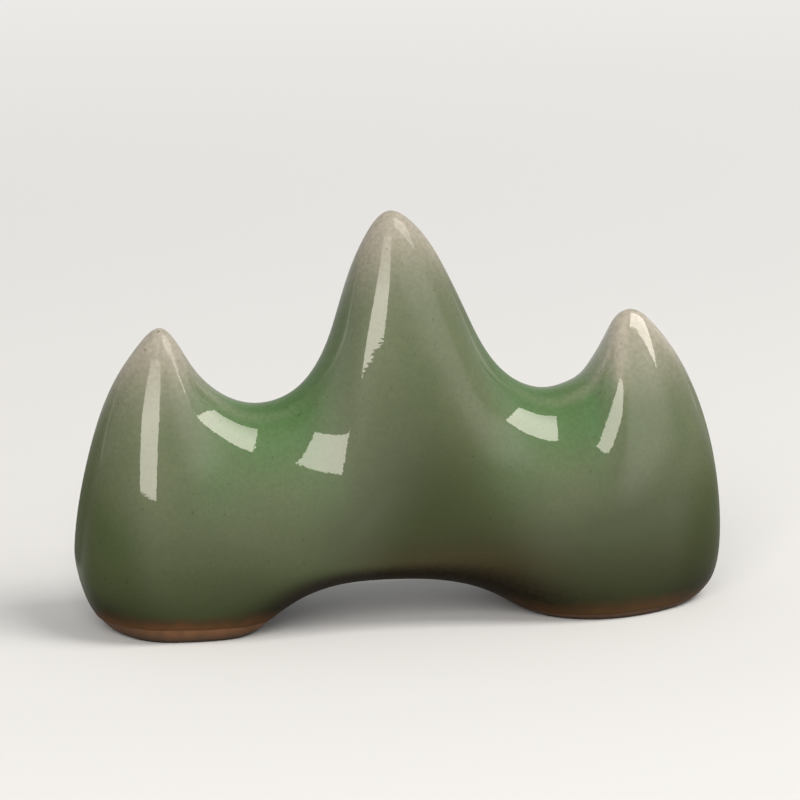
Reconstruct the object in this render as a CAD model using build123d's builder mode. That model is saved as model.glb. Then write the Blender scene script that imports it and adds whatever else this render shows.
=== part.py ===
from build123d import *
import os
from math import cos, pi, sin, sqrt

# A three-peaked mountain brush rest in slip-cast, celadon-glazed stoneware.
# Units are millimetres. X runs along the row of peaks, Y from front to back and Z up.
# The origin is on the table, under the middle of the rest, halfway through its depth.

# Ends: the two noses are the outermost points of the rest, level with its widest line.
left_end_x = -55.4
right_end_x = 55.4
belly_height = 12.6

# Peaks: where each one stands along the rest, and how high it is.
left_peak_x = -40.7
left_peak_height = 51.2
middle_peak_x = -1.8
middle_peak_height = 69.5
right_peak_x = 39.4
right_peak_height = 50.8

# Brush notches: the low point of each valley between two peaks.
left_notch_x = -25.0
left_notch_height = 37.5
right_notch_x = 25.6
right_notch_height = 37.7

# Feet and arch: the underside dips below the table at each foot, and the table cuts it flat.
left_foot_outer_x = -49.9
left_foot_x = -37.2
left_foot_inner_x = -24.8
arch_x = -4.5
arch_height = 7.0
right_foot_inner_x = 20.1
right_foot_x = 35.6
right_foot_outer_x = 51.4
foot_dip = 8.2

# Depth, from the middle plane to the front or the back, at the widest line.
half_depth = 16.0

# How each peak's cross-section fills out below its tip: a larger flank power keeps the flank
# full for longer, a larger tip power makes the tip blunter, and the overshoot is how far above
# the tip its flanks would meet if it weren't rounded off.
left_flank_power, left_tip_power, left_tip_overshoot = 1.53, 1.05, 4.0
middle_flank_power, middle_tip_power, middle_tip_overshoot = 1.50, 1.62, 3.2
right_flank_power, right_tip_power, right_tip_overshoot = 1.94, 0.88, 2.7

# How the cross-section turns under, below the widest line.
lower_side_power, lower_edge_power = 2.3, 2.0

# Layers: the fired glaze outside, the cast wall inside it, and the bare foot below the glaze.
glaze_thickness = 0.5
wall_thickness = 4.0
glaze_line_height = 1.8

# Each flank of the outline, from a peak outwards or down to a notch, as shares of that flank's
# run and drop.
left_outer_flank_shares = [(0.28, 0.08), (0.57, 0.25), (0.85, 0.57)]
left_inner_flank_shares = [(0.14, 0.15), (0.33, 0.50), (0.60, 0.82)]
middle_left_flank_shares = [(0.19, 0.14), (0.36, 0.47), (0.53, 0.80), (0.72, 0.95)]
middle_right_flank_shares = [(0.14, 0.07), (0.30, 0.26), (0.46, 0.54), (0.62, 0.80), (0.80, 0.95)]
right_inner_flank_shares = [(0.11, 0.05), (0.25, 0.29), (0.41, 0.62), (0.57, 0.84), (0.77, 0.95)]
right_outer_flank_shares = [(0.28, 0.07), (0.64, 0.29), (0.89, 0.58)]

# The underside, from the foot's outer edge up to the nose, and from the arch down to each foot's
# inner edge, as shares of the run and the drop.
left_side_shares = [(0.45, 0.20), (0.80, 0.50)]
right_side_shares = [(0.62, 0.20), (0.90, 0.48)]
arch_left_shares = [(0.35, 0.03), (0.65, 0.27)]
arch_right_shares = [(0.41, 0.12), (0.71, 0.42)]

# Half depths along the widest line, as shares of the length from nose to nose and of half_depth.
plan_shares = [
    (0.011, 0.51),
    (0.049, 0.75),
    (0.094, 0.89),
    (0.139, 0.90),
    (0.202, 0.93),
    (0.274, 0.995),
    (0.374, 0.93),
    (0.482, 0.85),
    (0.608, 0.895),
    (0.731, 1.00),
    (0.798, 0.995),
    (0.861, 0.90),
    (0.915, 0.77),
    (0.960, 0.62),
    (0.990, 0.40),
]

# Where cross-sections stand between a peak and a notch, and between a peak and its nose, as
# shares of that run.
notch_station_shares = [0.08, 0.20, 0.36, 0.54, 0.76]
nose_station_shares = [0.12, 0.28, 0.46, 0.64, 0.79, 0.90, 0.965, 0.995]

# Steps along each half cross-section, above and below the widest line.
upper_section_steps = 5
lower_section_steps = 3

outline_samples = 900
erosion_steps = 24


def flank(start, end, shares):
    """The points of one flank, from start towards end."""
    run = end[0] - start[0]
    drop = start[1] - end[1]
    return [(start[0] + along * run, start[1] - down * drop) for along, down in shares]


left_end = (left_end_x, belly_height)
right_end = (right_end_x, belly_height)
left_peak = (left_peak_x, left_peak_height)
middle_peak = (middle_peak_x, middle_peak_height)
right_peak = (right_peak_x, right_peak_height)
left_notch = (left_notch_x, left_notch_height)
right_notch = (right_notch_x, right_notch_height)
left_foot_outer = (left_foot_outer_x, 0)
left_foot_inner = (left_foot_inner_x, 0)
arch = (arch_x, arch_height)
right_foot_inner = (right_foot_inner_x, 0)
right_foot_outer = (right_foot_outer_x, 0)

ridge_points = [
    left_end,
    *reversed(flank(left_peak, left_end, left_outer_flank_shares)),
    left_peak,
    *flank(left_peak, left_notch, left_inner_flank_shares),
    left_notch,
    *reversed(flank(middle_peak, left_notch, middle_left_flank_shares)),
    middle_peak,
    *flank(middle_peak, right_notch, middle_right_flank_shares),
    right_notch,
    *reversed(flank(right_peak, right_notch, right_inner_flank_shares)),
    right_peak,
    *flank(right_peak, right_end, right_outer_flank_shares),
    right_end,
]
underside_points = [
    left_end,
    *reversed(flank(left_foot_outer, left_end, left_side_shares)),
    left_foot_outer,
    (left_foot_x, -foot_dip),
    left_foot_inner,
    *reversed(flank(arch, left_foot_inner, arch_left_shares)),
    arch,
    *flank(arch, right_foot_inner, arch_right_shares),
    right_foot_inner,
    (right_foot_x, -foot_dip),
    right_foot_outer,
    *flank(right_foot_outer, right_end, right_side_shares),
    right_end,
]


def outline(points, way):
    """Samples along a spline from the left nose to the right one; way is 1 for up, -1 for down."""
    with BuildLine() as line:
        Spline(*points, tangents=[(0, way), (0, -way)], tangent_scalars=[1, 1])
    edge = line.edges()[0]
    places = [edge.position_at(step / outline_samples) for step in range(outline_samples + 1)]
    return [(place.X, place.Y) for place in places]


def level(samples, x):
    """The outline's height at x, read between its samples."""
    low, high = 0, len(samples) - 1
    while high - low > 1:
        middle = (low + high) // 2
        if samples[middle][0] <= x:
            low = middle
        else:
            high = middle
    (x0, z0), (x1, z1) = samples[low], samples[high]
    share = min(max((x - x0) / (x1 - x0), 0), 1)
    return z0 + share * (z1 - z0)


def eroded(samples, x, inset, way):
    """The outline's height at x after its solid side is worn back by inset all over."""
    if inset == 0:
        return level(samples, x)
    found = []
    for step in range(-erosion_steps, erosion_steps + 1):
        aside = inset * step / erosion_steps
        found.append(way * level(samples, x + aside) - sqrt(inset**2 - aside**2))
    return way * min(found)


ridge = outline(ridge_points, 1)
underside = outline(underside_points, -1)
length = right_end_x - left_end_x
plan_points = [(left_end_x + along * length, out * half_depth) for along, out in plan_shares]
plan = outline([(left_end_x, 0), *plan_points, (right_end_x, 0)], 1)


def stations(inset):
    """Where the cross-sections stand, from nose to nose, for the form worn back by inset."""
    first, last = left_end_x + inset, right_end_x - inset
    places = [left_peak_x, left_notch_x, middle_peak_x, right_notch_x, right_peak_x]
    for peak, notch in (
        (left_peak_x, left_notch_x),
        (middle_peak_x, left_notch_x),
        (middle_peak_x, right_notch_x),
        (right_peak_x, right_notch_x),
    ):
        places += [peak + share * (notch - peak) for share in notch_station_shares]
    for peak, nose in ((left_peak_x, first), (right_peak_x, last)):
        places += [peak + share * (nose - peak) for share in nose_station_shares]
    return sorted(places)


upper_section_angles = [
    pi / 2 * step / upper_section_steps for step in range(upper_section_steps + 1)
]
lower_section_angles = [
    pi / 2 * (1 + step / lower_section_steps) for step in range(1, lower_section_steps + 1)
]


def between_peaks(x, values):
    """A value that changes smoothly along the rest, given at each of the three peaks."""
    left, middle, right = values
    if x < middle_peak_x:
        share = (x - left_peak_x) / (middle_peak_x - left_peak_x)
        start, end = left, middle
    else:
        share = (x - middle_peak_x) / (right_peak_x - middle_peak_x)
        start, end = middle, right
    share = min(max(share, 0), 1)
    return start + (end - start) * share * share * (3 - 2 * share)


def half_section(x, inset, side):
    """Points of one side's half cross-section, ridge to underside; side is -1 for the front."""
    top = eroded(ridge, x, inset, 1)
    bottom = eroded(underside, x, inset, -1)
    depth = eroded(plan, x, inset, 1)
    flank_power = between_peaks(x, (left_flank_power, middle_flank_power, right_flank_power))
    tip_power = between_peaks(x, (left_tip_power, middle_tip_power, right_tip_power))
    apex = between_peaks(
        x,
        (
            left_peak_height + left_tip_overshoot,
            middle_peak_height + middle_tip_overshoot,
            right_peak_height + right_tip_overshoot,
        ),
    )

    def breadth(height):
        rise_share = (height - belly_height) / (apex - inset - belly_height)
        return (1 - rise_share**flank_power) ** (1 / tip_power)

    ridge_breadth = breadth(top)
    points = [(0, top)]
    for angle in upper_section_angles[1:]:
        height = belly_height + (top - belly_height) * cos(angle)
        full_share = (breadth(height) ** 2 - ridge_breadth**2) / (1 - ridge_breadth**2)
        points.append((side * depth * sqrt(full_share), height))
    for angle in lower_section_angles[:-1]:
        fall_share = sin(angle - pi / 2)
        out_share = (1 - fall_share**lower_side_power) ** (1 / lower_edge_power)
        points.append((side * depth * out_share, belly_height - (belly_height - bottom) * fall_share))
    points.append((0, bottom))
    return points


def section_edge(points):
    """A spline through a half cross-section's points, level where it meets the middle plane."""
    angles = upper_section_angles + lower_section_angles
    ridge_pull = points[1][0] / angles[1]
    underside_pull = -points[-2][0] / (angles[-1] - angles[-2])
    return Edge.make_spline(
        points, tangents=[(ridge_pull, 0), (underside_pull, 0)], parameters=angles, scale=False
    )


def form(inset):
    """The whole rounded form worn back by inset all over, before the table cuts its feet."""
    with BuildPart() as body:
        for x in stations(inset):
            with BuildSketch(Plane.YZ.offset(x)):
                with BuildLine():
                    add(section_edge(half_section(x, inset, -1)))
                    add(section_edge(half_section(x, inset, 1)))
                make_face()
        loft()
    return body.part


outer = form(0)
core = form(glaze_thickness)
hollow = form(glaze_thickness + wall_thickness)

with BuildPart() as celadon_glaze:
    add(outer)
    add(core, mode=Mode.SUBTRACT)
    split(bisect_by=Plane.XY.offset(glaze_line_height), keep=Keep.TOP)
celadon_glaze.part.label = "celadon_glaze"

with BuildPart() as foot_bands:
    add(outer)
    split(bisect_by=Plane.XY, keep=Keep.TOP)
    split(bisect_by=Plane.XY.offset(glaze_line_height), keep=Keep.BOTTOM)

with BuildPart() as stoneware_body:
    add(core)
    split(bisect_by=Plane.XY.offset(glaze_line_height), keep=Keep.TOP)
    add(foot_bands.part)
    add(hollow, mode=Mode.SUBTRACT)
stoneware_body.part.label = "stoneware_body"

os.makedirs("parts", exist_ok=True)
export_step(celadon_glaze.part, "parts/celadon_glaze.step")
export_step(stoneware_body.part, "parts/stoneware_body.step")
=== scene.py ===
from math import cos, pi, radians, sin, tan

import bmesh
import bpy
import numpy as np
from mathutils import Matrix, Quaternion, Vector


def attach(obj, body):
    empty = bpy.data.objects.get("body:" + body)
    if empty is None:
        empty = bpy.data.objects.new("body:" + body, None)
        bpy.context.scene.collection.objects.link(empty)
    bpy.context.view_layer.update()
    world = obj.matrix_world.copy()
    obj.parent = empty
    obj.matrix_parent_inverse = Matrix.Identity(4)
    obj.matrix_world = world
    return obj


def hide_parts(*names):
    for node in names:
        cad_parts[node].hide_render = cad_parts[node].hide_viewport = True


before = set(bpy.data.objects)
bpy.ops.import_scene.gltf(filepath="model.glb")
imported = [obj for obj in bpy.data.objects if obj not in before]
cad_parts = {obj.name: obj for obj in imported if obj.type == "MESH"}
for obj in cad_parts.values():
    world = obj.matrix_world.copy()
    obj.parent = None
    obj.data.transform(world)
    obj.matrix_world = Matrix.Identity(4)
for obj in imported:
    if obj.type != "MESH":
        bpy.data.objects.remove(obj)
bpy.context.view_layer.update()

# The form, in millimetres: the same named sizes and shares as the CAD source.
MM = 0.001
LEFT_END_X, RIGHT_END_X, BELLY_HEIGHT = -55.4, 55.4, 12.6
LEFT_PEAK, MIDDLE_PEAK, RIGHT_PEAK = (-40.7, 51.2), (-1.8, 69.5), (39.4, 50.8)
PEAKS = (LEFT_PEAK, MIDDLE_PEAK, RIGHT_PEAK)
LEFT_NOTCH, RIGHT_NOTCH = (-25.0, 37.5), (25.6, 37.7)
LEFT_END, RIGHT_END = (LEFT_END_X, BELLY_HEIGHT), (RIGHT_END_X, BELLY_HEIGHT)
FOOT_DIP = 8.2
LEFT_FOOT = [(-49.9, 0), (-37.2, -FOOT_DIP), (-24.8, 0)]
RIGHT_FOOT = [(20.1, 0), (35.6, -FOOT_DIP), (51.4, 0)]
ARCH = (-4.5, 7.0)
HALF_DEPTH = 16.0
FLANK_POWERS, TIP_POWERS, TIP_OVERSHOOTS = (1.53, 1.50, 1.94), (1.05, 1.62, 0.88), (4.0, 3.2, 2.7)
LOWER_SIDE_POWER, LOWER_EDGE_POWER = 2.3, 2.0
GLAZE_THICKNESS, WALL_THICKNESS = 0.5, 4.0

LEFT_OUTER_SHARES = [(0.28, 0.08), (0.57, 0.25), (0.85, 0.57)]
LEFT_INNER_SHARES = [(0.14, 0.15), (0.33, 0.50), (0.60, 0.82)]
MIDDLE_LEFT_SHARES = [(0.19, 0.14), (0.36, 0.47), (0.53, 0.80), (0.72, 0.95)]
MIDDLE_RIGHT_SHARES = [(0.14, 0.07), (0.30, 0.26), (0.46, 0.54), (0.62, 0.80), (0.80, 0.95)]
RIGHT_INNER_SHARES = [(0.11, 0.05), (0.25, 0.29), (0.41, 0.62), (0.57, 0.84), (0.77, 0.95)]
RIGHT_OUTER_SHARES = [(0.28, 0.07), (0.64, 0.29), (0.89, 0.58)]
LEFT_SIDE_SHARES = [(0.45, 0.20), (0.80, 0.50)]
RIGHT_SIDE_SHARES = [(0.62, 0.20), (0.90, 0.48)]
ARCH_LEFT_SHARES = [(0.35, 0.03), (0.65, 0.27)]
ARCH_RIGHT_SHARES = [(0.41, 0.12), (0.71, 0.42)]
PLAN_SHARES = [
    (0.011, 0.51),
    (0.049, 0.75),
    (0.094, 0.89),
    (0.139, 0.90),
    (0.202, 0.93),
    (0.274, 0.995),
    (0.374, 0.93),
    (0.482, 0.85),
    (0.608, 0.895),
    (0.731, 1.00),
    (0.798, 0.995),
    (0.861, 0.90),
    (0.915, 0.77),
    (0.960, 0.62),
    (0.990, 0.40),
]

# The glaze's lower edge, in millimetres: its height on the left foot, how far it drops towards
# the right foot and between which places, its waves as height, radians per millimetre and phase,
# and how much the waves slant from front to back.
GLAZE_LINE = 2.7
GLAZE_LINE_DROP, DROP_PLACES = 1.5, (-20, 30)
GLAZE_LINE_WAVES = [(0.09, 0.16, 0.0), (0.06, 0.37, 1.3), (0.03, 0.81, 2.1)]
WAVE_SLANT = 1.7

# The bare clay, in millimetres: how far it lies under the glaze's skin, where that step begins
# and ends above the glaze's edge, the rounding of the rims, and the levels at which the step and
# the rims get points.
FOOT_RECESS = 0.12
STEP_SPAN, STEP_LEVELS = (-0.1, 0.3), (-0.15, 0.0, 0.15, 0.3)
RIM_ROUNDING, RIM_ROUNDNESS = 0.7, 0.75
RIM_LEVELS = (0.1, 0.25, 0.45, 0.7)

# Where the glaze changes, in millimetres. A pair gives where a change starts and where it ends.
TIP_WASH = 20  # down from a peak's tip
TIP_SIDES = (24, 6)  # aside from a peak's tip
POOL_SIDES = (18, 5.4)  # aside from a notch's middle
POOL_HEIGHTS = (18, 32)  # up from the table
HIGH_POOL = (16, 3)  # down from the ridge
# The brow is a pale band just under each notch's rim: a painted reflection.
BROW_SHEEN_START, BROW_SHEEN_END = (0.5, 1.1), (2.8, 1.6)  # down from the ridge
RIDGE_BAND = (5, 1)  # down from the ridge
HEM_HEIGHT = 4.0  # up from the glaze's edge

# The curvature of a crest and of a hollow, per millimetre, how far down an underside faces, and
# how many rounds of averaging soften each.
CREST_CURVATURE, CREST_SOFTENING = (0.08, 0.31), 4
HOLLOW_CURVATURE, HOLLOW_SOFTENING = (0.03, -0.035), 8
FACING_DOWN, FACING_SOFTENING = (-0.12, -0.75), 2

# How much each of these makes the glaze pool or run thin; the brow's share paints a pale reflection.
HIGH_POOL_SHARE = 0.5
CREST_SHARE, TIP_SHARE, BROW_SHEEN_SHARE = 0.33, 0.57, 0.16

# Mesh fineness: rows along the rest, points on each half section, steps of the glaze's bead,
# samples along an outline and about a worn-back point, and the angle of a sharp edge.
GLAZE_ROWS, GLAZE_POINTS = 250, 72
BODY_ROWS, BODY_POINTS = 200, 56
HOLLOW_ROWS, HOLLOW_POINTS = 110, 32
BEAD_STEPS = 6
OUTLINE_SAMPLES = 2400
EROSION_SAMPLES = 49
SHARP_ANGLE = radians(50)

# The glaze's colours: its body in two cloudy tones, the darker low zone from left to right, which is
# partly thin glaze over the brown clay and partly painted shade, the painted shade above the arch
# and on the underside, the green pools, the thin glaze from left to right, which also paints a pale
# reflection under the notch rims and is painted paler on the right where less light falls, the fine
# grains and specks, and the rusty hem above the bare clay.
CELADON, PALE_CELADON = (0.066, 0.091, 0.037, 1), (0.080, 0.104, 0.046, 1)
LOW_BROWN_AND_SHADE_LEFT, LOW_BROWN_AND_SHADE_RIGHT = (0.040, 0.055, 0.022, 1), (0.029, 0.036, 0.014, 1)
ARCH_PAINTED_SHADE, UNDERSIDE_PAINTED_SHADE = (0.034, 0.022, 0.011, 1), (0.014, 0.009, 0.005, 1)
POOL_GREEN = (0.045, 0.155, 0.047, 1)
THIN_AND_PAINTED_LIGHT_LEFT, THIN_AND_PAINTED_LIGHT_RIGHT = (0.300, 0.280, 0.240, 1), (0.325, 0.300, 0.255, 1)
GRAIN_OLIVE, SPECK_DARK = (0.035, 0.045, 0.022, 1), (0.02, 0.025, 0.012, 1)
HEM_RUST, HEM_TOASTED = (0.055, 0.034, 0.016, 1), (0.110, 0.055, 0.024, 1)

# The noises as scale, detail and, where it isn't one half, roughness; the part of each noise's
# range that is used, and how much it counts; and the depths of the bumps, in metres.
CLOUDS, CLOUD_RANGE = (70, 4, 0.6), (0.35, 0.65)
GRAINS, GRAIN_RANGE, GRAIN_SHARE = (1300, 2, 0.6), (0.32, 0.68), 0.22
SPECKS, SPECK_RANGE, SPECK_SHARE = (1700, 1), (0.72, 0.78), 0.6
WANDER, WANDER_RANGE, WANDER_SHARE = (160, 3), (0.3, 0.7), 0.12
MOTTLE, MOTTLE_RANGE = (260, 4), (0.35, 0.65)
PEEL, PEEL_DEPTH = (420, 2), 0.000012
FINE_PEEL, FINE_PEEL_DEPTH = (1500, 2), 0.0000045
CLAY_GRAIN, CLAY_GRAIN_DEPTH = (2600, 3), 0.00005

# Where the glaze's colour and gloss change, in metres along the rest, from its middle or the
# arch's middle, or above the table. A pair gives where a change starts and where it ends.
ARCH_MIDDLE = 0.006
RIGHT_PEAK_PLACES = (0.010, 0.036)
# The low zone is partly thin glaze over the brown clay and partly painted shade.
LOW_TONE_PLACES, LOW_ZONE = (-0.030, 0.030), (0.003, 0.036)
WAIST_REACH, WAIST_RISE = (0, 0.022), 0.014  # the low zone reaches higher in the middle
# The painted shade above the arch: its reach from the arch's middle, its heights and its share.
ARCH_SHADE_REACH, ARCH_SHADE_HEIGHTS, ARCH_SHADE_SHARE = (0.004, 0.026), (0.010, 0.020), 0.8
TOAST_PLACES, TOAST_SHARES = (-0.045, 0), (0.9, 0.4)
DULL_ENDS, ENDS_RISE = (0.044, 0.055), 0.020  # the dull zone reaches higher at the ends
DULL_ARCH, ARCH_RISE = (0, 0.018), 0.018  # and over the arch
COAT_HEIGHTS, COAT_WEIGHTS = (0.002, 0.024), (0.15, 1)
SHEEN_HEIGHTS, SHEEN_LEVELS = (0.012, 0.050), (0.05, 0.3)
# The painted contact shadow along the bare clay's rim.
CLAY_RIM_SHADOW_HEIGHTS, CLAY_RIM_SHADOW_SHARE = (0.0002, 0.0022), 0.85

# The range of each painted value that counts, and what becomes of the gloss there.
THIN_RANGE, RUST_RANGE, TOAST_RANGE = (0, 0.9), (0.2, 0.8), (0.6, 1)
DULL_TIP_RANGE, DULL_TIP_SHARES = (0.1, 0.6), (0.7, 0.05)
TURNED_GLOSS = 0.25

# The bare clay's colours: two mottled tones and a painted contact shadow along the rim.
CLAY_LIGHT, CLAY_DARK = (0.165, 0.078, 0.034, 1), (0.105, 0.056, 0.028, 1)
CLAY_RIM_SHADOW = (0.045, 0.028, 0.017, 1)

# The room: the sky's colours by the sine of the elevation, and a glow by its azimuth, elevation
# and reach in degrees and its strength.
BACKDROP = (0.84, 0.83, 0.81, 1)
SKY = [
    (0.0, BACKDROP),
    (0.30, (0.95, 0.931, 0.874, 1)),
    (0.50, (0.90, 0.882, 0.828, 1)),
    (0.80, (0.30, 0.294, 0.276, 1)),
    (1.0, (0.22, 0.22, 0.20, 1)),
]
GLOW_AZIMUTH, GLOW_ELEVATION, GLOW_REACH, GLOW_STRENGTH = 39, 24, 24, 2.1

# The floor: its radius in metres, its sides and how far it lies under the rest in metres, its
# colour as it is seen and as it lights the rest, and how far off it turns into the backdrop.
FLOOR_RADIUS, FLOOR_SIDES, FLOOR_GAP = 6, 96, 0.00002
FLOOR_SEEN, FLOOR_BOUNCE = (0.59, 0.605, 0.63, 1), (0.22, 0.17, 0.12, 1)
BACKDROP_DISTANCES = (0.10, 0.80)

# The lamps stand round this point. Each has an azimuth, an elevation, a width, a height and a
# roll in degrees as seen from there, and a brightness.
LAMP_CENTRE, LAMP_DISTANCE = Vector((0, 0, 0.035)), 1.8
LAMP_COLOUR = (1.0, 0.93, 0.84)
SOFTBOXES = {
    "left_softbox": (-19.1, 30.5, 28.5, 29.6, -1.6, 8.0),
    "right_softbox": (56.1, 51.6, 25.5, 35.0, 37.3, 9.5),
    "left_strip": (-118, 17, 7, 26, 0, 1.0),
    "right_strip": (114, 17, 6, 26, 0, 0.8),
}

# The camera, from the fit to the photograph: degrees, metres and pixels of an 800-pixel frame.
CAMERA_AZIMUTH, CAMERA_ELEVATION, CAMERA_DISTANCE = -12.05, 14.24, 0.750
CAMERA_TARGET = Vector((0, 0, 0.028))
TARGET_PIXEL = (400.97, 451.1)
FRAME_PIXELS = 800
FOCAL_PIXELS = 4434
SENSOR_WIDTH = 36
CLIP_START, CLIP_END = 0.05, 20


def flank(start, end, shares):
    """The points of one flank, from start towards end."""
    run, drop = end[0] - start[0], start[1] - end[1]
    return [(start[0] + along * run, start[1] - down * drop) for along, down in shares]


RIDGE = [
    LEFT_END,
    *reversed(flank(LEFT_PEAK, LEFT_END, LEFT_OUTER_SHARES)),
    LEFT_PEAK,
    *flank(LEFT_PEAK, LEFT_NOTCH, LEFT_INNER_SHARES),
    LEFT_NOTCH,
    *reversed(flank(MIDDLE_PEAK, LEFT_NOTCH, MIDDLE_LEFT_SHARES)),
    MIDDLE_PEAK,
    *flank(MIDDLE_PEAK, RIGHT_NOTCH, MIDDLE_RIGHT_SHARES),
    RIGHT_NOTCH,
    *reversed(flank(RIGHT_PEAK, RIGHT_NOTCH, RIGHT_INNER_SHARES)),
    RIGHT_PEAK,
    *flank(RIGHT_PEAK, RIGHT_END, RIGHT_OUTER_SHARES),
    RIGHT_END,
]
UNDERSIDE = [
    LEFT_END,
    *reversed(flank(LEFT_FOOT[0], LEFT_END, LEFT_SIDE_SHARES)),
    *LEFT_FOOT,
    *reversed(flank(ARCH, LEFT_FOOT[2], ARCH_LEFT_SHARES)),
    ARCH,
    *flank(ARCH, RIGHT_FOOT[0], ARCH_RIGHT_SHARES),
    *RIGHT_FOOT,
    *flank(RIGHT_FOOT[2], RIGHT_END, RIGHT_SIDE_SHARES),
    RIGHT_END,
]


def smooth_line(points, way):
    """Samples of the smooth curve through points, upright at both noses; way is 1 for up."""
    knots = np.array(points, float)
    gaps = np.linalg.norm(np.diff(knots, axis=0), axis=1)
    count = len(knots)
    system, wanted = np.eye(count), np.zeros((count, 2))
    wanted[0], wanted[-1] = (0, way), (0, -way)
    for i in range(1, count - 1):
        before, after = gaps[i - 1], gaps[i]
        arriving, leaving = knots[i] - knots[i - 1], knots[i + 1] - knots[i]
        system[i, i - 1 : i + 2] = after, 2 * (before + after), before
        wanted[i] = 3 * (after / before * arriving + before / after * leaving)
    slopes = np.linalg.solve(system, wanted)
    starts = np.concatenate([[0], np.cumsum(gaps)])
    where = np.linspace(0, starts[-1], OUTLINE_SAMPLES)
    span = np.clip(np.searchsorted(starts, where, side="right") - 1, 0, count - 2)
    share = ((where - starts[span]) / gaps[span])[:, None]
    gap = gaps[span][:, None]
    line = (
        (2 * share**3 - 3 * share**2 + 1) * knots[span]
        + (share**3 - 2 * share**2 + share) * gap * slopes[span]
        + (3 * share**2 - 2 * share**3) * knots[span + 1]
        + (share**3 - share**2) * gap * slopes[span + 1]
    )
    line[:, 0] = np.maximum.accumulate(line[:, 0])
    return line


def plan_points():
    """Half depths along the widest line, from the left nose to the right one."""
    length = RIGHT_END_X - LEFT_END_X
    points = [(LEFT_END_X + along * length, out * HALF_DEPTH) for along, out in PLAN_SHARES]
    return [(LEFT_END_X, 0), *points, (RIGHT_END_X, 0)]


ridge = smooth_line(RIDGE, 1)
underside = smooth_line(UNDERSIDE, -1)
plan = smooth_line(plan_points(), 1)


def eroded(line, x, inset, way):
    """The outline's heights at x after its solid side is worn back by inset all over."""
    if inset == 0:
        return np.interp(x, line[:, 0], line[:, 1])
    found = []
    for aside in inset * np.linspace(-1, 1, EROSION_SAMPLES):
        reach = np.sqrt(max(inset**2 - aside**2, 0))
        found.append(way * np.interp(x + aside, line[:, 0], line[:, 1]) - reach)
    return way * np.min(found, axis=0)


def stations(inset, rows):
    """Places along the rest, closer together where the outlines turn fastest."""
    first, last = LEFT_END_X + inset, RIGHT_END_X - inset
    x = (first + last) / 2 - (last - first) / 2 * np.cos(np.linspace(0, pi, OUTLINE_SAMPLES))
    travelled = np.zeros(len(x))
    for line, way in ((ridge, 1), (underside, -1), (plan, 1)):
        height = eroded(line, x, inset, way)
        travelled[1:] += np.cumsum(np.hypot(np.diff(x), np.diff(height)))
    return np.interp(np.linspace(0, travelled[-1], rows + 2)[1:-1], travelled, x)


def smoothstep(low, high, value):
    """0 at low, 1 at high and smooth between them; low may be the larger of the two."""
    share = np.clip((value - low) / (high - low), 0, 1)
    return share * share * (3 - 2 * share)


def between_peaks(x, values):
    """Values that change smoothly along the rest, given at each of the three peaks."""
    left, middle, right = values
    first = smoothstep(LEFT_PEAK[0], MIDDLE_PEAK[0], x)
    second = smoothstep(MIDDLE_PEAK[0], RIGHT_PEAK[0], x)
    return (left + (middle - left) * first + (right - middle) * second)[:, None]


def half_sections(x, inset, points):
    """How far out and how high each point of the half sections at x lies, ridge to underside."""
    top = eroded(ridge, x, inset, 1)[:, None]
    bottom = eroded(underside, x, inset, -1)[:, None]
    depth = np.maximum(eroded(plan, x, inset, 1), 0)[:, None]
    flank_power = between_peaks(x, FLANK_POWERS)
    tip_power = between_peaks(x, TIP_POWERS)
    apexes = [peak[1] + over for peak, over in zip(PEAKS, TIP_OVERSHOOTS)]
    apex = between_peaks(x, apexes) - inset

    def breadth(height):
        rise = np.clip((height - BELLY_HEIGHT) / (apex - BELLY_HEIGHT), 0, 1)
        return (1 - rise**flank_power) ** (1 / tip_power)

    angle = np.linspace(0, pi, points + 1)[None, :]
    rising = BELLY_HEIGHT + (top - BELLY_HEIGHT) * np.maximum(np.cos(angle), 0)
    full = (breadth(rising) ** 2 - breadth(top) ** 2) / (1 - breadth(top) ** 2)
    fall = np.maximum(-np.cos(angle), 0)
    under = (1 - fall**LOWER_SIDE_POWER) ** (1 / LOWER_EDGE_POWER)
    out = depth * np.sqrt(np.clip(full, 0, 1)) * under
    return out, rising - (BELLY_HEIGHT - bottom) * fall


def form_grid(inset, rows, points):
    """Rings round the form worn back by inset, each from the ridge down the front and up the
    back. The points at the two noses aren't in it."""
    x = stations(inset, rows)
    out, height = half_sections(x, inset, points)
    along = np.broadcast_to(x[:, None], out.shape)
    front = np.stack([along, -out, height], axis=2)
    back = np.stack([along, out, height], axis=2)
    return np.concatenate([front, back[:, -2:0:-1]], axis=1)


def curvatures(grid):
    """At each point the mean and the sharpest curvature, per millimetre and positive on a bulge,
    and how far up the surface faces."""
    along = np.gradient(grid, axis=0)
    wrapped = np.concatenate([grid[:, -2:], grid, grid[:, :2]], axis=1)
    around_wrapped = np.gradient(wrapped, axis=1)
    around = around_wrapped[:, 2:-2]
    normal = np.cross(along, around)
    normal /= np.linalg.norm(normal, axis=2, keepdims=True) + 1e-12
    if (normal * (grid - grid.mean(axis=1, keepdims=True))).sum() < 0:
        normal = -normal

    def dot(a, b):
        return (a * b).sum(axis=2)

    first_e, first_f, first_g = dot(along, along), dot(along, around), dot(around, around)
    second_l = -dot(np.gradient(along, axis=0), normal)
    second_m = -dot(np.gradient(around, axis=0), normal)
    second_n = -dot(np.gradient(around_wrapped, axis=1)[:, 2:-2], normal)
    area = np.maximum(first_e * first_g - first_f**2, 1e-9)
    mean = (first_e * second_n - 2 * first_f * second_m + first_g * second_l) / (2 * area)
    gauss = (second_l * second_n - second_m**2) / area
    sharpest = mean + np.sqrt(np.maximum(mean**2 - gauss, 0))
    return mean, sharpest, normal[..., 2]


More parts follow.
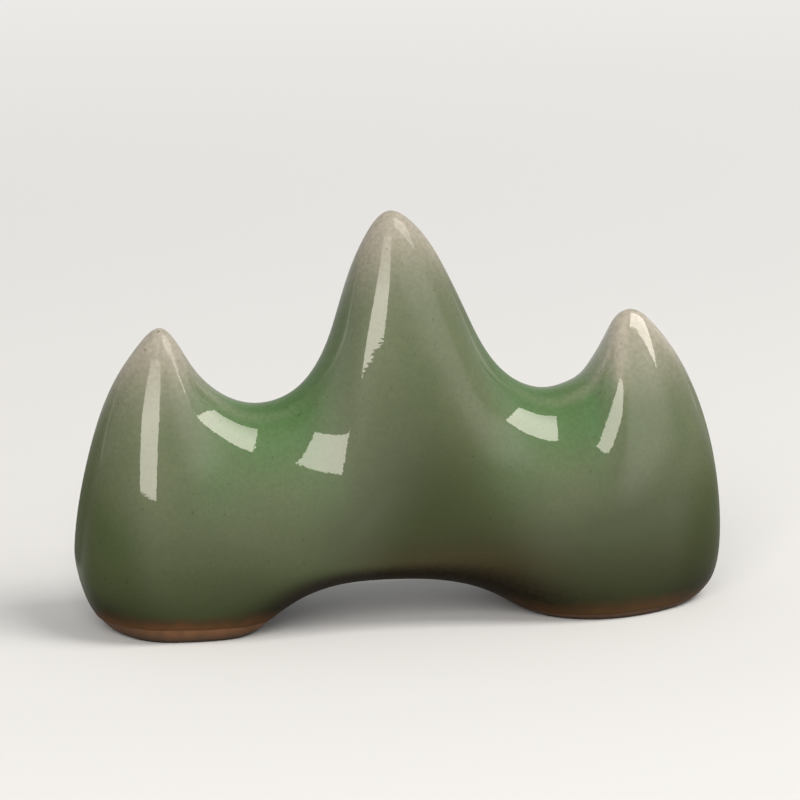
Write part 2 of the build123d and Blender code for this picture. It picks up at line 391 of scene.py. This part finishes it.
def softened(field, rounds):
    """The field averaged with its neighbours on the grid, a number of times."""
    for _ in range(rounds):
        wrapped = np.concatenate([field[:, -1:], field, field[:, :1]], axis=1)
        field = (wrapped[:, :-2] + wrapped[:, 1:-1] + wrapped[:, 2:]) / 3
        padded = np.concatenate([field[:1], field, field[-1:]], axis=0)
        field = (padded[:-2] + padded[1:-1] + padded[2:]) / 3
    return field


def form_bmesh(grid, nose_inset, layers=None):
    """A closed bmesh of the rings, in millimetres, with a point at each nose."""
    rows, ring = grid.shape[:2]
    bm = bmesh.new()
    made = {name: bm.verts.layers.float.new(name) for name in layers or {}}
    verts = []
    for row in range(rows):
        verts.append([bm.verts.new(point) for point in grid[row]])
        for name, layer in made.items():
            for vert, value in zip(verts[-1], layers[name][row]):
                vert[layer] = value
    for row in range(rows - 1):
        for i in range(ring):
            j = (i + 1) % ring
            bm.faces.new((verts[row][i], verts[row][j], verts[row + 1][j], verts[row + 1][i]))
    for row, x in ((0, LEFT_END_X + nose_inset), (rows - 1, RIGHT_END_X - nose_inset)):
        nose = bm.verts.new((x, 0, BELLY_HEIGHT))
        for name, layer in made.items():
            nose[layer] = float(layers[name][row].mean())
        for i in range(ring):
            corners = (verts[row][(i + 1) % ring], verts[row][i], nose)
            bm.faces.new(corners if row == 0 else corners[::-1])
    bmesh.ops.recalc_face_normals(bm, faces=bm.faces)
    return bm


def glaze_line(x, y):
    """The height of the glaze's lower edge, in millimetres."""
    drop = GLAZE_LINE_DROP * smoothstep(*DROP_PLACES, x)
    place = x + WAVE_SLANT * y
    waves = sum(high * np.sin(turning * place + phase) for high, turning, phase in GLAZE_LINE_WAVES)
    return GLAZE_LINE - drop + waves


def shift_by_glaze_line(bm, way):
    """Raises (1) or lowers (-1) every point by the height of the glaze line at its place."""
    for vert in bm.verts:
        vert.co.z += way * glaze_line(vert.co.x, vert.co.y)


def cut_level(bm, level, clear_below=False):
    """Cuts the mesh at a level, and may clear away what is below it."""
    bmesh.ops.bisect_plane(
        bm,
        geom=bm.verts[:] + bm.edges[:] + bm.faces[:],
        plane_co=(0, 0, level),
        plane_no=(0, 0, 1),
        clear_inner=clear_below,
    )


def shelled(bm, thickness, bead_steps):
    """Gives the open skin a thickness inwards, with a half-round bead along its open edges."""
    bm.normal_update()
    outer, faces = list(bm.verts), list(bm.faces)
    layers = bm.verts.layers.float.values()
    inward = {vert: -vert.normal.copy() for vert in outer}
    border = [edge for edge in bm.edges if edge.is_boundary]
    rim_verts = {vert for edge in border for vert in edge.verts}

    downhill = {}
    for vert in rim_verts:
        outside = Vector((0, 0, 0))
        for edge in vert.link_edges:
            if edge.is_boundary:
                middle = (edge.verts[0].co + edge.verts[1].co) / 2
                outside += middle - edge.link_faces[0].calc_center_median()
        outside -= outside.dot(inward[vert]) * inward[vert]
        downhill[vert] = outside.normalized()

    def added(place, source):
        vert = bm.verts.new(place)
        for layer in layers:
            vert[layer] = source[layer]
        return vert

    inner = {vert: added(vert.co + thickness * inward[vert], vert) for vert in outer}
    for face in faces:
        bm.faces.new([inner[vert] for vert in reversed(face.verts)])
    chains = {}
    for vert in rim_verts:
        chains[vert] = [vert]
        for step in range(1, bead_steps):
            turn = pi * step / bead_steps
            sunk = thickness / 2 * (1 - cos(turn)) * inward[vert]
            bulge = thickness / 2 * sin(turn) * downhill[vert]
            chains[vert].append(added(vert.co + sunk + bulge, vert))
        chains[vert].append(inner[vert])
    for edge in border:
        loop = edge.link_loops[0]
        first, second = chains[loop.vert], chains[loop.link_loop_next.vert]
        for step in range(bead_steps):
            bm.faces.new((second[step], first[step], first[step + 1], second[step + 1]))
    bm.normal_update()


def to_object(bm, name, material):
    """A smooth-shaded object, in metres, from a bmesh in millimetres."""
    bmesh.ops.scale(bm, vec=(MM, MM, MM), verts=bm.verts)
    mesh = bpy.data.meshes.new(name)
    bm.to_mesh(mesh)
    bm.free()
    mesh.shade_smooth()
    mesh.set_sharp_from_angle(angle=SHARP_ANGLE)
    mesh.materials.append(material)
    piece = bpy.data.objects.new(name, mesh)
    bpy.context.scene.collection.objects.link(piece)
    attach(piece, "root")
    return piece


def glaze_layers(grid):
    """Where the glaze pools, runs thin, turns over the ridge or under the form, and ends; also the
    pale band under the notch rims, a painted reflection, and the faces turned down, where shade is
    painted.
    """
    mean, sharpest, upward = curvatures(grid)
    x, y, z = np.moveaxis(grid, 2, 0)
    near_tip = sum(
        smoothstep(-TIP_WASH, 0, z - peak[1]) * smoothstep(*TIP_SIDES, abs(x - peak[0]))
        for peak in PEAKS
    )
    in_notch = sum(
        smoothstep(*POOL_SIDES, abs(x - notch[0])) for notch in (LEFT_NOTCH, RIGHT_NOTCH)
    )
    below_ridge = z.max(axis=1, keepdims=True) - z
    sharp = softened(smoothstep(*CREST_CURVATURE, sharpest), CREST_SOFTENING)
    crest = sharp * np.clip(2 * near_tip, 0, 1)
    # A pale band just under each notch's rim, a painted reflection.
    brow_sheen = in_notch**3 * smoothstep(*BROW_SHEEN_START, below_ridge) * smoothstep(*BROW_SHEEN_END, below_ridge)
    sunken = softened(smoothstep(*HOLLOW_CURVATURE, mean), HOLLOW_SOFTENING)
    hollow = sunken * smoothstep(*POOL_HEIGHTS, z)
    high_pool = HIGH_POOL_SHARE * smoothstep(*HIGH_POOL, below_ridge)
    thinning_and_sheen = CREST_SHARE * crest + TIP_SHARE * near_tip + BROW_SHEEN_SHARE * brow_sheen
    return {
        "pooling": in_notch * np.maximum(hollow, high_pool),
        "thinning_and_sheen": np.clip(thinning_and_sheen, 0, 1),
        "ridge": smoothstep(*RIDGE_BAND, below_ridge) * (1 - near_tip),
        # Faces turned down: painted shade in the colour, and less gloss.
        "underside": softened(smoothstep(*FACING_DOWN, upward), FACING_SOFTENING),
        "hem": np.clip(1 - (z - glaze_line(x, y)) / HEM_HEIGHT, 0, 1),
    }


def make_glaze(material):
    """The glaze coat over the whole form, ending in a soft bead above the bare feet."""
    grid = form_grid(0, GLAZE_ROWS, GLAZE_POINTS)
    bm = form_bmesh(grid, 0, glaze_layers(grid))
    shift_by_glaze_line(bm, -1)
    cut_level(bm, 0, clear_below=True)
    shift_by_glaze_line(bm, 1)
    shelled(bm, GLAZE_THICKNESS, BEAD_STEPS)
    piece = to_object(bm, "celadon_glaze_coat", material)
    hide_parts("celadon_glaze")


def sink_under_glaze(bm):
    """Sinks the form's skin under the glaze, less so on the bare feet, and rounds their rims."""
    bm.normal_update()
    moves = []
    for vert in bm.verts:
        over = vert.co.z - glaze_line(vert.co.x, vert.co.y)
        covered = smoothstep(*STEP_SPAN, over)
        sunk = FOOT_RECESS + (GLAZE_THICKNESS - FOOT_RECESS) * covered
        if vert.co.z < RIM_ROUNDING:
            lower = RIM_ROUNDING - max(vert.co.z, 0)
            sunk += RIM_ROUNDING - np.sqrt(RIM_ROUNDING**2 - RIM_ROUNDNESS * lower**2)
        moves.append((vert, vert.normal * float(sunk)))
    for vert, move in moves:
        vert.co -= move


def add_hollow(bm):
    """The cast hollow, worn back from the form by the glaze and the wall."""
    inset = GLAZE_THICKNESS + WALL_THICKNESS
    hollow = form_bmesh(form_grid(inset, HOLLOW_ROWS, HOLLOW_POINTS), inset)
    cut_level(hollow, 0, clear_below=True)
    bmesh.ops.reverse_faces(hollow, faces=hollow.faces)
    inside = bpy.data.meshes.new("hollow")
    hollow.to_mesh(inside)
    hollow.free()
    bm.from_mesh(inside)
    bpy.data.meshes.remove(inside)


def make_body(material):
    """The cast clay body: its skin under the glaze, the bare foot bands, the rims and the hollow."""
    bm = form_bmesh(form_grid(0, BODY_ROWS, BODY_POINTS), 0)
    for level in RIM_LEVELS:
        cut_level(bm, level)
    shift_by_glaze_line(bm, -1)
    for level in STEP_LEVELS:
        cut_level(bm, level)
    shift_by_glaze_line(bm, 1)
    sink_under_glaze(bm)
    cut_level(bm, 0, clear_below=True)
    add_hollow(bm)
    for left in (True, False):
        edges = [e for e in bm.edges if e.is_boundary and (e.verts[0].co.x < ARCH[0]) == left]
        bmesh.ops.bridge_loops(bm, edges=edges)
    bmesh.ops.recalc_face_normals(bm, faces=bm.faces)
    piece = to_object(bm, "stoneware_cast_body", material)
    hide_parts("stoneware_body")


class Nodes:
    """A short way to write the nodes of a material or of the world."""

    def __init__(self, owner):
        owner.use_nodes = True
        self.owner = owner
        self.tree = owner.node_tree
        self.tree.nodes.clear()

    def add(self, kind, *plugs, **settings):
        """A node with its settings, and its inputs as (number or name, value or socket)."""
        node = self.tree.nodes.new(kind)
        for name, value in settings.items():
            setattr(node, name, value)
        for plug, value in plugs:
            socket = node.inputs[plug]
            if isinstance(value, bpy.types.NodeSocket):
                self.tree.links.new(value, socket)
            else:
                socket.default_value = value
        return node

    def layer(self, name):
        """A value painted on the piece's points."""
        return self.add("ShaderNodeAttribute", attribute_name=name).outputs["Fac"]

    def noise(self, where, scale, detail, roughness=0.5):
        node = self.add(
            "ShaderNodeTexNoise",
            ("Vector", where),
            ("Scale", scale),
            ("Detail", detail),
            ("Roughness", roughness),
        )
        return node.outputs["Fac"]

    def fit(self, value, low, high, to_low=0.0, to_high=1.0, way="SMOOTHSTEP"):
        """The value's place between low and high, turned into one between two other values."""
        node = self.add(
            "ShaderNodeMapRange",
            ("Value", value),
            ("From Min", low),
            ("From Max", high),
            ("To Min", to_low),
            ("To Max", to_high),
            interpolation_type=way,
        )
        return node.outputs["Result"]

    def math(self, operation, first, second=0.0):
        node = self.add("ShaderNodeMath", (0, first), (1, second), operation=operation)
        return node.outputs["Value"]

    def mix(self, share, first, second):
        """A mix of two colours, whose sockets are the node's inputs 6 and 7 and its output 2."""
        plugs = ((0, share), (6, first), (7, second))
        return self.add("ShaderNodeMix", *plugs, data_type="RGBA").outputs[2]

    def bump(self, height, distance, *under):
        """A bump of the given depth in metres, over another bump where one is given."""
        plugs = [("Height", height), ("Distance", distance)]
        plugs += [("Normal", normal) for normal in under]
        return self.add("ShaderNodeBump", *plugs).outputs["Normal"]

    def material(self, *plugs):
        """The finished material."""
        surface = self.add("ShaderNodeBsdfPrincipled", *plugs)
        self.add("ShaderNodeOutputMaterial", ("Surface", surface.outputs["BSDF"]))
        return self.owner


def glaze_colour(nodes, place, along, height):
    """Celadon: pale where it runs thin over tips and crests, with a painted reflection under the
    notch rims, green where it pools, darker low down, partly from thin glaze over the brown clay and
    partly painted shade, with painted shade above the arch and on the underside, and rusty where it
    ends."""
    body = nodes.mix(nodes.fit(nodes.noise(place, *CLOUDS), *CLOUD_RANGE), CELADON, PALE_CELADON)
    # Darker low down: partly thin glaze over the brown clay, partly painted shade.
    low_brown_and_shade = nodes.mix(nodes.fit(along, *LOW_TONE_PLACES), LOW_BROWN_AND_SHADE_LEFT, LOW_BROWN_AND_SHADE_RIGHT)
    waist = nodes.fit(nodes.math("ABSOLUTE", along), *WAIST_REACH, WAIST_RISE, 0)
    lowness = nodes.fit(nodes.math("SUBTRACT", height, waist), *LOW_ZONE, 1, 0)
    lower = nodes.mix(lowness, body, low_brown_and_shade)

    # Painted shade, darker and browner, above the arch.
    off_arch = nodes.math("ABSOLUTE", nodes.math("SUBTRACT", along, ARCH_MIDDLE))
    over_arch = nodes.fit(off_arch, *ARCH_SHADE_REACH, ARCH_SHADE_SHARE, 0)
    arch_shade = nodes.math("MULTIPLY", over_arch, nodes.fit(height, *ARCH_SHADE_HEIGHTS, 1, 0))
    arch_shaded = nodes.mix(arch_shade, lower, ARCH_PAINTED_SHADE)
    pooled = nodes.mix(nodes.layer("pooling"), arch_shaded, POOL_GREEN)
    # The right peak's thin glaze is painted paler, to make up for less light falling there; this
    # colour also paints the reflection under the notch rims.
    thin = nodes.mix(nodes.fit(along, *RIGHT_PEAK_PLACES), THIN_AND_PAINTED_LIGHT_LEFT, THIN_AND_PAINTED_LIGHT_RIGHT)
    washed = nodes.mix(nodes.fit(nodes.layer("thinning_and_sheen"), *THIN_RANGE), pooled, thin)
    # Painted shade on the faces that turn down.
    shaded = nodes.mix(nodes.layer("underside"), washed, UNDERSIDE_PAINTED_SHADE)

    grains = nodes.fit(nodes.noise(place, *GRAINS), *GRAIN_RANGE, 0, GRAIN_SHARE)
    grainy = nodes.mix(grains, shaded, GRAIN_OLIVE)
    wander = nodes.fit(nodes.noise(place, *WANDER), *WANDER_RANGE, -WANDER_SHARE, WANDER_SHARE)
    hem = nodes.math("ADD", nodes.layer("hem"), wander)
    rusty = nodes.mix(nodes.fit(hem, *RUST_RANGE), grainy, HEM_RUST)
    toast = nodes.fit(along, *TOAST_PLACES, *TOAST_SHARES)
    toast = nodes.math("MULTIPLY", nodes.fit(hem, *TOAST_RANGE), toast)
    toasted = nodes.mix(toast, rusty, HEM_TOASTED)
    specks = nodes.fit(nodes.noise(place, *SPECKS), *SPECK_RANGE, 0, SPECK_SHARE)
    return nodes.mix(specks, toasted, SPECK_DARK)


def glaze_gloss(nodes, along, height):
    """How strong the glaze's clear coat and the sheen under it are: weaker low down, at the ends
    and over the arch, as in the photograph, and weaker on tips and on the turned edges."""
    ends = nodes.fit(nodes.math("ABSOLUTE", along), *DULL_ENDS, 0, ENDS_RISE)
    off_arch = nodes.math("ABSOLUTE", nodes.math("SUBTRACT", along, ARCH_MIDDLE))
    over_arch = nodes.fit(off_arch, *DULL_ARCH, ARCH_RISE, 0)
    exposed = nodes.math("SUBTRACT", nodes.math("SUBTRACT", height, ends), over_arch)
    turned = nodes.math("MAXIMUM", nodes.layer("ridge"), nodes.layer("underside"))
    kept = nodes.fit(turned, 0, 1, 1, TURNED_GLOSS, way="LINEAR")
    tip_loss = nodes.fit(along, *RIGHT_PEAK_PLACES, *DULL_TIP_SHARES)
    dulled = nodes.math("MULTIPLY", nodes.fit(nodes.layer("thinning_and_sheen"), *DULL_TIP_RANGE), tip_loss)
    wet = nodes.math("MULTIPLY", nodes.math("SUBTRACT", 1, dulled), kept)
    coat = nodes.math("MULTIPLY", nodes.fit(exposed, *COAT_HEIGHTS, *COAT_WEIGHTS), wet)
    sheen = nodes.math("MULTIPLY", nodes.fit(exposed, *SHEEN_HEIGHTS, *SHEEN_LEVELS), kept)
    return coat, sheen


def make_glaze_material():
    """A satin body under a clear, slightly uneven coat."""
    nodes = Nodes(bpy.data.materials.new("celadon_glaze"))
    place = nodes.add("ShaderNodeTexCoord").outputs["Object"]
    axes = nodes.add("ShaderNodeSeparateXYZ", ("Vector", place)).outputs
    coat, sheen = glaze_gloss(nodes, axes["X"], axes["Z"])
    peel = nodes.bump(nodes.noise(place, *PEEL), PEEL_DEPTH)
    fine = nodes.bump(nodes.noise(place, *FINE_PEEL), FINE_PEEL_DEPTH, peel)
    return nodes.material(
        ("Base Color", glaze_colour(nodes, place, axes["X"], axes["Z"])),
        ("Roughness", 0.5),
        ("Specular IOR Level", sheen),
        ("Coat Weight", coat),
        ("Coat Roughness", 0.02),
        ("Normal", fine),
        ("Coat Normal", fine),
    )


def make_clay_material():
    """Bare stoneware: grainy, toasted orange-brown by the kiln, with painted contact shadow
    darkening it towards the rim.
    """
    nodes = Nodes(bpy.data.materials.new("bare_stoneware"))
    place = nodes.add("ShaderNodeTexCoord").outputs["Object"]
    height = nodes.add("ShaderNodeSeparateXYZ", ("Vector", place)).outputs["Z"]
    mottle = nodes.fit(nodes.noise(place, *MOTTLE), *MOTTLE_RANGE)
    toasted = nodes.mix(mottle, CLAY_LIGHT, CLAY_DARK)
    # Painted contact shadow along the rim.
    dark = nodes.fit(height, *CLAY_RIM_SHADOW_HEIGHTS, CLAY_RIM_SHADOW_SHARE, 0)
    grain = nodes.bump(nodes.noise(place, *CLAY_GRAIN), CLAY_GRAIN_DEPTH)
    return nodes.material(
        ("Base Color", nodes.mix(dark, toasted, CLAY_RIM_SHADOW)),
        ("Roughness", 0.82),
        ("Normal", grain),
    )


def towards(azimuth, elevation):
    """The direction at an azimuth, 0 to the front and 90 to the right, and an elevation."""
    a, e = radians(azimuth), radians(elevation)
    return Vector((sin(a) * cos(e), -cos(a) * cos(e), sin(e)))


def make_softbox(name, azimuth, elevation, wide, high, roll, brightness):
    """A rectangular lamp that spans the given angles as seen from the rest, turned by roll."""
    lamp = bpy.data.lights.new(name, "AREA")
    lamp.shape = "RECTANGLE"
    lamp.size = 2 * LAMP_DISTANCE * tan(radians(wide) / 2)
    lamp.size_y = 2 * LAMP_DISTANCE * tan(radians(high) / 2)
    lamp.energy = brightness * pi * lamp.size * lamp.size_y
    lamp.color = LAMP_COLOUR
    holder = bpy.data.objects.new(name, lamp)
    bpy.context.scene.collection.objects.link(holder)
    away = towards(azimuth, elevation)
    holder.location = LAMP_CENTRE + LAMP_DISTANCE * away
    holder.rotation_mode = "QUATERNION"
    level = away.to_track_quat("Z", "Y")
    holder.rotation_quaternion = level @ Quaternion((0, 0, 1), radians(roll))


def make_world():
    """A soft room: as pale as the backdrop at the horizon and above it, dim overhead, with a glow
    to the right where the light spills round the softbox."""
    world = bpy.data.worlds.new("soft_room")
    bpy.context.scene.world = world
    nodes = Nodes(world)
    where = nodes.add("ShaderNodeTexCoord").outputs["Generated"]
    height = nodes.add("ShaderNodeSeparateXYZ", ("Vector", where)).outputs["Z"]
    sky = nodes.add("ShaderNodeValToRGB", ("Fac", height))
    ramp = sky.color_ramp
    ramp.interpolation = "EASE"
    ramp.elements[0].color, ramp.elements[1].color = SKY[0][1], SKY[-1][1]
    for sine, colour in SKY[1:-1]:
        ramp.elements.new(sine).color = colour
    middle = towards(GLOW_AZIMUTH, GLOW_ELEVATION)
    near = nodes.add("ShaderNodeVectorMath", (0, where), (1, middle), operation="DOT_PRODUCT")
    glow = nodes.fit(near.outputs["Value"], cos(radians(GLOW_REACH)), 1, 1, GLOW_STRENGTH)
    room = nodes.add("ShaderNodeBackground", ("Color", sky.outputs["Color"]), ("Strength", glow))
    nodes.add("ShaderNodeOutputWorld", ("Surface", room.outputs["Background"]))


def make_floor_material():
    """A plain pale floor that turns into an even backdrop. It is seen pale, straight or
    mirrored, but throws only a dim, warm light back at the rest."""
    nodes = Nodes(bpy.data.materials.new("pale_floor"))
    path = nodes.add("ShaderNodeLightPath").outputs
    seen = nodes.math("MAXIMUM", path["Is Camera Ray"], path["Is Glossy Ray"])
    seen = nodes.math("MAXIMUM", seen, path["Is Transmission Ray"])
    place = nodes.add("ShaderNodeTexCoord").outputs["Object"]
    far = nodes.add("ShaderNodeVectorMath", (0, place), operation="LENGTH").outputs["Value"]
    backdrop = nodes.math("MULTIPLY", nodes.fit(far, *BACKDROP_DISTANCES), seen)
    near = nodes.mix(seen, FLOOR_BOUNCE, FLOOR_SEEN)
    return nodes.material(
        ("Base Color", nodes.mix(backdrop, near, (0, 0, 0, 1))),
        ("Roughness", 0.9),
        ("Specular IOR Level", 0),
        ("Emission Color", BACKDROP),
        ("Emission Strength", backdrop),
    )


def make_floor():
    """A round floor just under the rest."""
    bm = bmesh.new()
    bmesh.ops.create_circle(
        bm, cap_ends=True, cap_tris=True, segments=FLOOR_SIDES, radius=FLOOR_RADIUS
    )
    mesh = bpy.data.meshes.new("floor")
    bm.to_mesh(mesh)
    bm.free()
    mesh.materials.append(make_floor_material())
    floor = bpy.data.objects.new("floor", mesh)
    floor.location.z = -FLOOR_GAP
    bpy.context.scene.collection.objects.link(floor)


def make_camera():
    """The photograph's viewing angle, turned so that the target lands on its pixel."""
    camera = bpy.data.cameras.new("camera")
    camera.sensor_width = SENSOR_WIDTH
    camera.lens = FOCAL_PIXELS / FRAME_PIXELS * SENSOR_WIDTH
    camera.clip_start, camera.clip_end = CLIP_START, CLIP_END
    holder = bpy.data.objects.new("camera", camera)
    bpy.context.scene.collection.objects.link(holder)
    away = towards(CAMERA_AZIMUTH, CAMERA_ELEVATION)
    holder.location = CAMERA_TARGET + CAMERA_DISTANCE * away
    upright = away.to_track_quat("Z", "Y")
    aside = (TARGET_PIXEL[0] - FRAME_PIXELS / 2) / FOCAL_PIXELS
    below = (TARGET_PIXEL[1] - FRAME_PIXELS / 2) / FOCAL_PIXELS
    aim = upright @ Vector((-aside, below, -1)).normalized()
    holder.rotation_mode = "QUATERNION"
    holder.rotation_quaternion = (-aim).to_track_quat("Z", "Y")
    bpy.context.scene.camera = holder


make_glaze(make_glaze_material())
make_body(make_clay_material())
make_floor()
make_world()
for softbox, angles in SOFTBOXES.items():
    make_softbox(softbox, *angles)
make_camera()
bpy.context.scene.view_settings.view_transform = "Standard"
